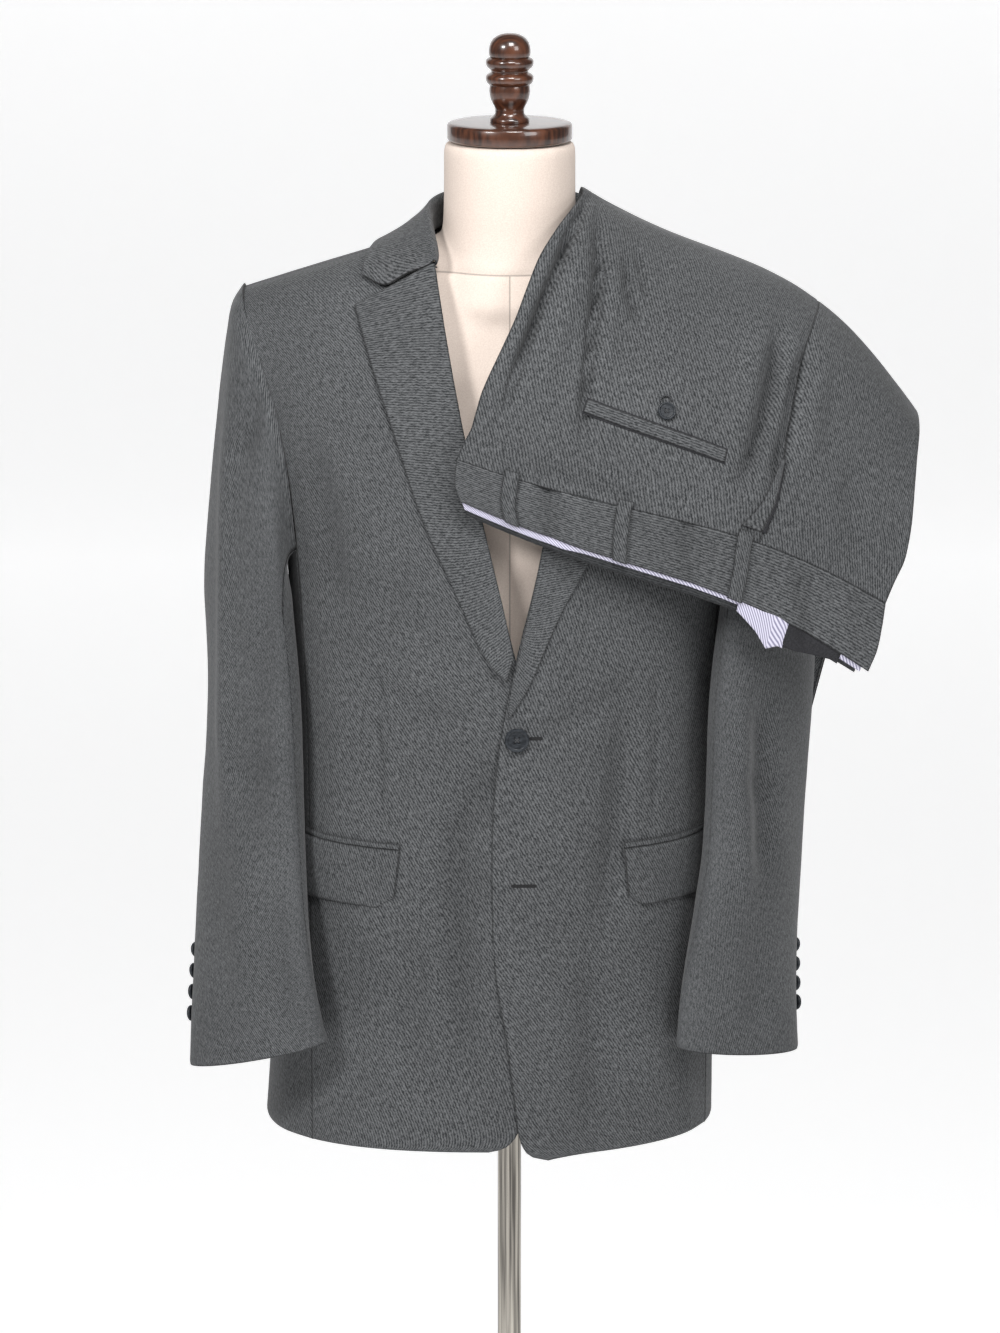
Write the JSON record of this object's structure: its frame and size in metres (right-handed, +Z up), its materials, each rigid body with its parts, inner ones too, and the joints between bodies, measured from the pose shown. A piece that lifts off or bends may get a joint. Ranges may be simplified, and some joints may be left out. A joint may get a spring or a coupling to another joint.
{
  "type": "suit on dress form",
  "caption": "Grey two-piece suit on a limbless dress form: the jacket is worn buttoned, the folded trousers hang over one shoulder.",
  "frame": {"origin": "centre of the base's underside, on the floor under the pole", "axes": "+Z up along the pole, the suit faces -Y, +X to the wearer's left, where the trousers hang"},
  "size_m": [0.6409, 0.3557, 1.677],
  "materials": {
    "grey_worsted": "matte fine twill wool",
    "striped_lining": "smooth lining with fine stripes",
    "dark_horn": "semi-gloss",
    "cream_cover": "plain cotton cover",
    "stained_wood": "dark stain, glossy varnish",
    "nickel": "polished nickel plate"
  },
  "bodies": {
    "root": {"front_left": "grey_worsted", "front_right": "grey_worsted", "side_left": "grey_worsted", "side_right": "grey_worsted", "back_left": "grey_worsted", "back_right": "grey_worsted", "lapel_left": "grey_worsted", "lapel_right": "grey_worsted", "collar": "grey_worsted", "top_sleeve_left": "grey_worsted", "top_sleeve_right": "grey_worsted", "under_sleeve_left": "grey_worsted", "under_sleeve_right": "grey_worsted", "flap_left": "grey_worsted", "flap_right": "grey_worsted", "jet_left": "grey_worsted", "jet_right": "grey_worsted", "button_top": "dark_horn", "button_lower": "dark_horn", "cuff_button_left_1": "dark_horn", "cuff_button_left_2": "dark_horn", "cuff_button_left_3": "dark_horn", "cuff_button_left_4": "dark_horn", "cuff_button_right_1": "dark_horn", "cuff_button_right_2": "dark_horn", "cuff_button_right_3": "dark_horn", "cuff_button_right_4": "dark_horn", "trouser_back_left": "grey_worsted", "trouser_front_left": "grey_worsted", "trouser_under_layers": "grey_worsted", "waistband_left": "grey_worsted", "waistband_right": "grey_worsted", "waist_lining": "striped_lining", "belt_loop_1": "grey_worsted", "belt_loop_2": "grey_worsted", "belt_loop_3": "grey_worsted", "back_pocket_welt": "grey_worsted", "back_pocket_button": "dark_horn", "slant_pocket_facing": "grey_worsted", "form_torso": "cream_cover", "neck_cap": "stained_wood", "finial": "stained_wood", "pole_flange": "nickel", "pole": "nickel", "base": "nickel"}
  },
  "joints": []
}
